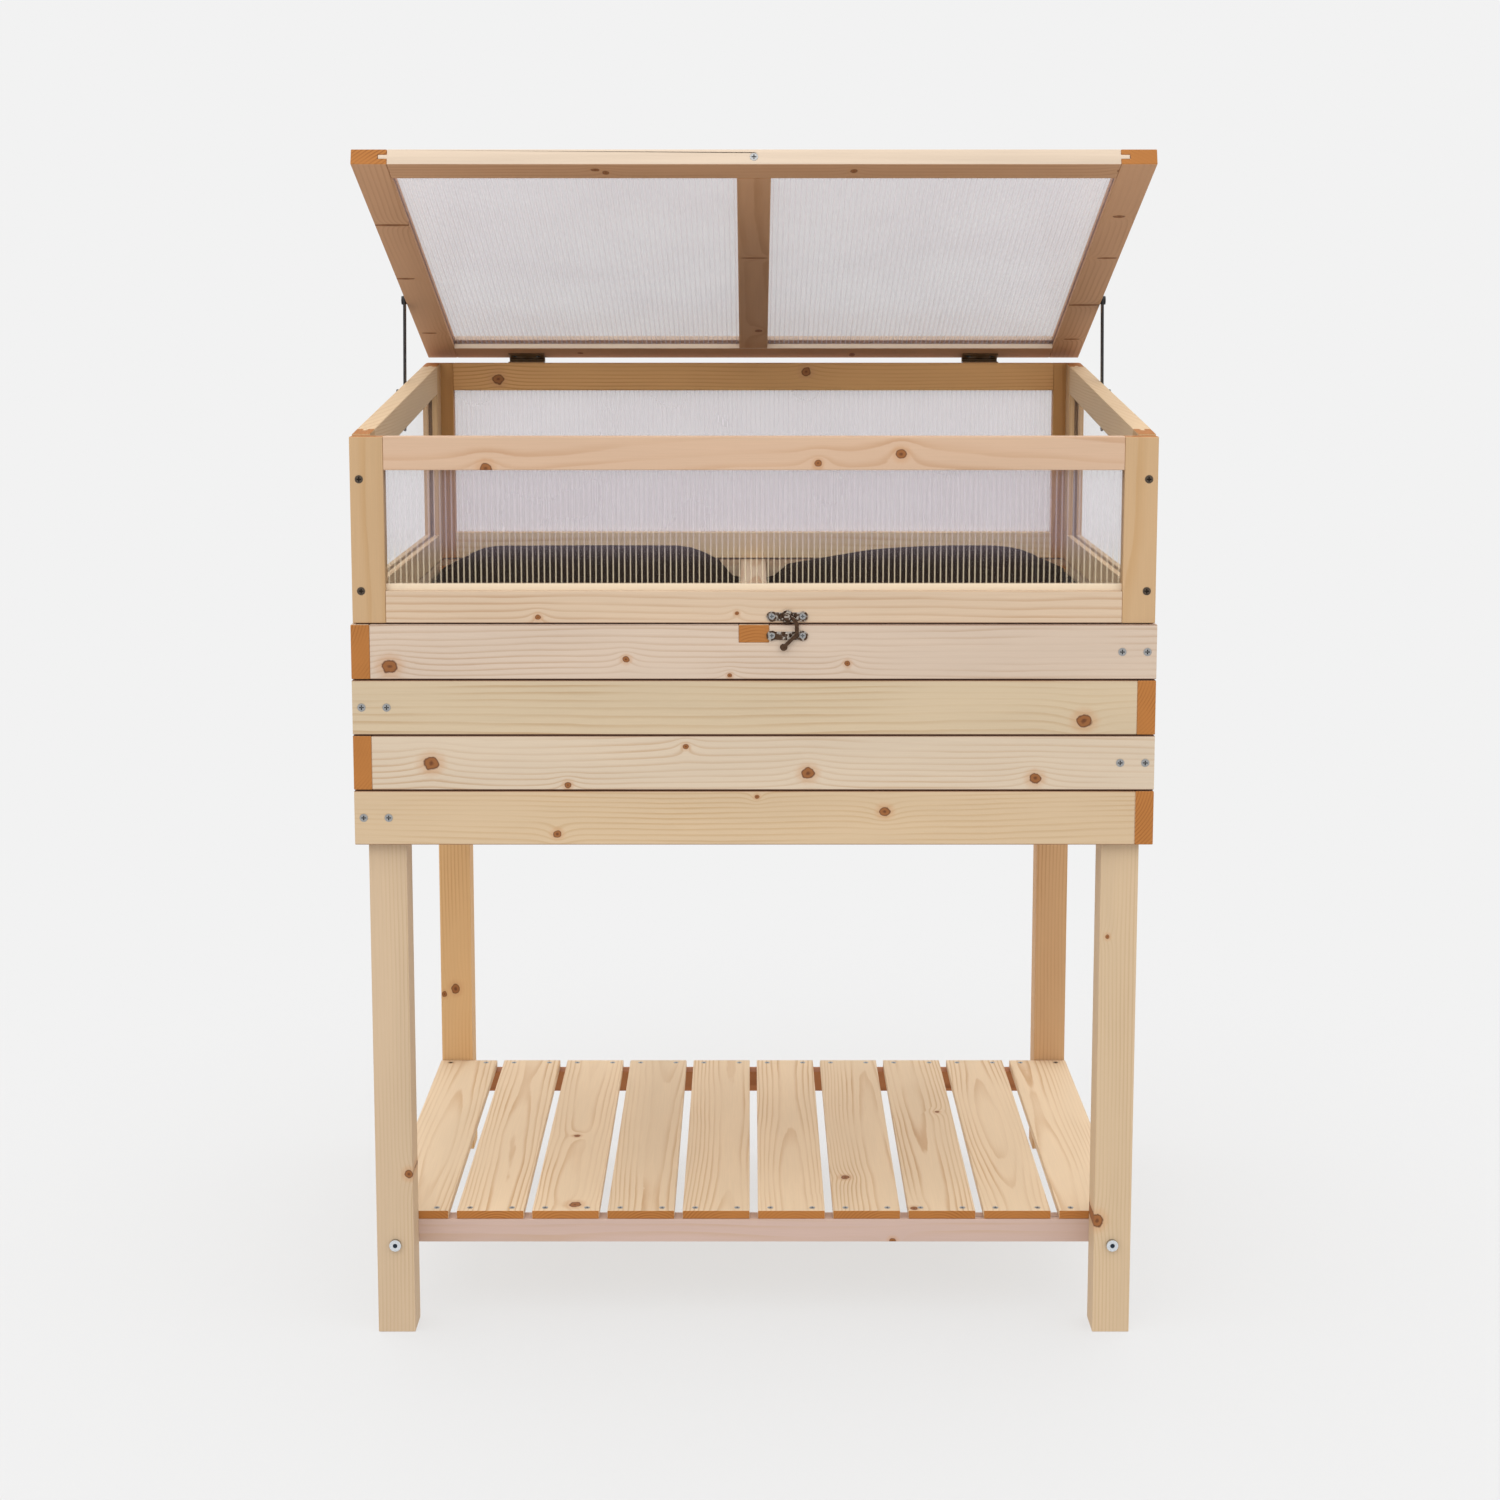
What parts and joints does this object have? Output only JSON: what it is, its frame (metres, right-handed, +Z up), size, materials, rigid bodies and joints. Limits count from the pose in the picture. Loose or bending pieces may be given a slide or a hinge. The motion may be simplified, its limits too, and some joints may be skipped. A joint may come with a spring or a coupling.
{
  "type": "cold frame",
  "caption": "Raised wooden planter on legs with a slatted lower shelf, a glazed sloping upper frame with a hinged glazed lid held open by stays, and a swing hook latch.",
  "frame": {"origin": "floor level under the middle of the object, with the lid open as stored", "axes": "+Z up, +X to the right of someone facing the latch, +Y from the front to the hinged rear"},
  "size_m": [0.8186, 0.6126, 1.2073],
  "materials": {
    "wood": "pale planed softwood",
    "glazing": "clear twin-wall sheet",
    "liner_fabric": "black non-woven",
    "zinc_steel": "zinc plated",
    "brown_steel": "brown lacquer",
    "black_steel": "black",
    "black_plastic": "black moulded",
    "antique_bronze": "antiqued",
    "dark_screws": "dark phosphate"
  },
  "bodies": {
    "planter": {"leg_front_left": "wood", "leg_front_right": "wood", "leg_rear_left": "wood", "leg_rear_right": "wood", "front_board_1": "wood", "front_board_2": "wood", "front_board_3": "wood", "front_board_4": "wood", "rear_boards": "wood", "left_boards": "wood", "right_boards": "wood", "cross_brace": "wood", "floor_bearers": "wood", "floor_slats": "wood", "liner": "liner_fabric", "shelf_slats": "wood", "shelf_rail_front": "wood", "shelf_rail_rear": "wood", "board_screws": "zinc_steel", "shelf_screws": "zinc_steel", "shelf_bolts": "zinc_steel", "rear_hinge_fixed_leaves": "zinc_steel", "latch_keeper": "antique_bronze", "planter_fitting_screws": "antique_bronze"},
    "frame": {"front_stile_left": "wood", "front_stile_right": "wood", "front_top_rail": "wood", "front_bottom_rail": "wood", "front_glazing": "glazing", "rear_stile_left": "wood", "rear_stile_right": "wood", "rear_top_rail": "wood", "rear_bottom_rail": "wood", "rear_glazing": "glazing", "left_panel_stiles": "wood", "left_panel_top_rail": "wood", "left_panel_bottom_rail": "wood", "right_panel_stiles": "wood", "right_panel_top_rail": "wood", "right_panel_bottom_rail": "wood", "side_glazing": "glazing", "frame_screws": "dark_screws", "frame_fitting_screws": "antique_bronze", "latch_plate": "antique_bronze", "lid_hinge_lower_leaves": "brown_steel", "rear_hinge_moving_leaves": "zinc_steel", "stay_knobs": "black_plastic"},
    "lid": {"lid_side_rail_left": "wood", "lid_side_rail_right": "wood", "lid_front_rail": "wood", "lid_back_rail": "wood", "lid_mullion": "wood", "lid_glazing": "glazing", "lid_hinge_upper_leaves": "brown_steel", "lid_screws": "zinc_steel", "stay_pivots": "black_steel"},
    "stay_left": {"stay_left": "black_steel"},
    "stay_right": {"stay_right": "black_steel"},
    "latch_arm": {"latch_arm": "antique_bronze"}
  },
  "joints": [
    {"name": "frame_hinge", "type": "hinge", "parent": "planter", "child": "frame", "pos_m": [0, 0.3033, 0.7414], "axis": [-1, 0, 0], "range_deg": [0, 95]},
    {"name": "lid_hinge", "type": "hinge", "parent": "frame", "child": "lid", "pos_m": [0, 0.3008, 0.98334], "axis": [-1, 0, 0], "range_deg": [-25.6, 10]},
    {"name": "stay_left_pivot", "type": "hinge", "parent": "lid", "child": "stay_left", "pos_m": [-0.4, 0.12337, 1.05714], "axis": [-1, 0, 0], "range_deg": [-5.2, 13]},
    {"name": "stay_right_pivot", "type": "hinge", "parent": "lid", "child": "stay_right", "pos_m": [0.4, 0.12337, 1.05714], "axis": [-1, 0, 0], "range_deg": [-5.2, 13]},
    {"name": "latch_swing", "type": "hinge", "parent": "frame", "child": "latch_arm", "pos_m": [0.033, -0.3038, 0.749], "axis": [0, -1, 0], "range_deg": [0, 120]}
  ],
  "couplings": [
    {"joint": "stay_left_pivot", "follows": "lid_hinge", "ratio": -0.5},
    {"joint": "stay_right_pivot", "follows": "lid_hinge", "ratio": -0.5}
  ]
}
